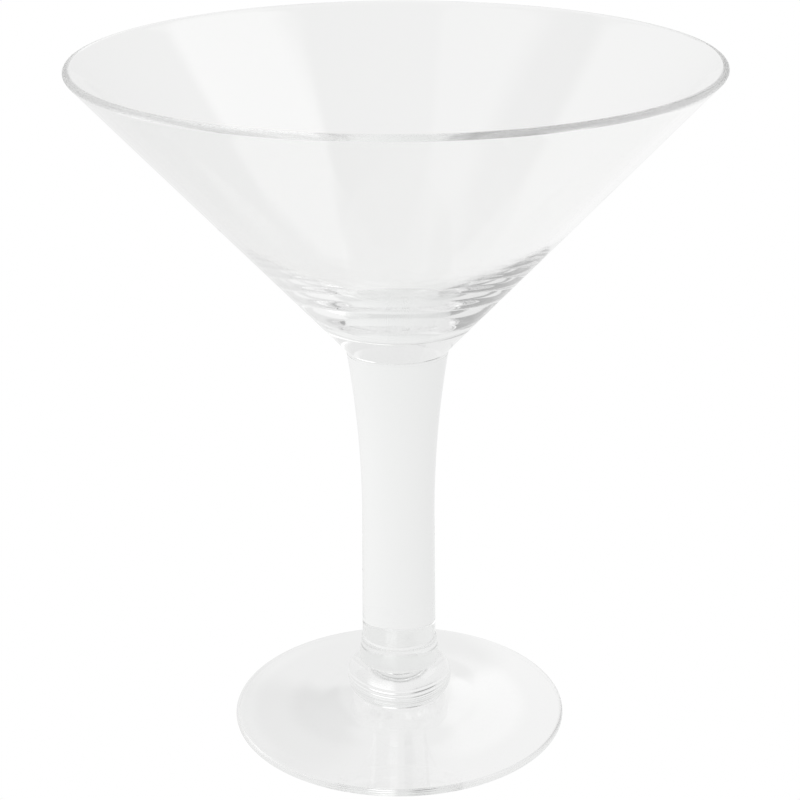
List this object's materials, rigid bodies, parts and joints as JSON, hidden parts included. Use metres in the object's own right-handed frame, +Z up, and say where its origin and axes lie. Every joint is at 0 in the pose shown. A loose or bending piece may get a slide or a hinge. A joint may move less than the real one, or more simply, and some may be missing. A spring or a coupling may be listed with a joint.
{
  "type": "giant martini glass",
  "caption": "Oversized stemmed glass with a wide open cone, a thick solid column, a round collar and a thin disc foot.",
  "frame": {"origin": "centre of the foot's underside, on the plane the glass stands on", "axes": "+Z up along the glass's axis of revolution, from the foot to the open mouth"},
  "size_m": [0.2256, 0.2256, 0.254],
  "materials": {
    "clear_glass": "clear, fire-polished"
  },
  "bodies": {
    "root": {"foot": "clear_glass", "knop": "clear_glass", "post": "clear_glass", "stem": "clear_glass", "bowl": "clear_glass"}
  },
  "joints": []
}
